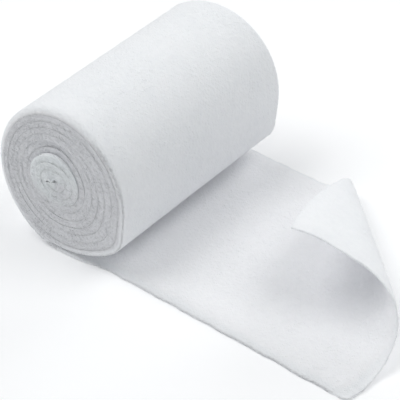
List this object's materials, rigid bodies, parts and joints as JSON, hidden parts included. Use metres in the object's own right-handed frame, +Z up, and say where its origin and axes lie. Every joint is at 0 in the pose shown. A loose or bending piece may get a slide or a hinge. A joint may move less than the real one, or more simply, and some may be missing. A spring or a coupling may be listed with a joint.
{
  "type": "elastic bandage",
  "caption": "Soft white roll bandage on its side, partly unrolled, with a flat tail whose free corner curls up and back.",
  "frame": {"origin": "middle of the part's footprint on the surface it lies on", "axes": "+X the way the tail runs out from the roll, Y along the roll's axis with the near end face towards -Y, +Z up"},
  "size_m": [0.1702, 0.1078, 0.067],
  "materials": {
    "bandage_cotton": "matt white knitted cotton with a soft raised surface"
  },
  "bodies": {
    "root": {"wound_roll": "bandage_cotton", "free_tail": "bandage_cotton"}
  },
  "joints": []
}
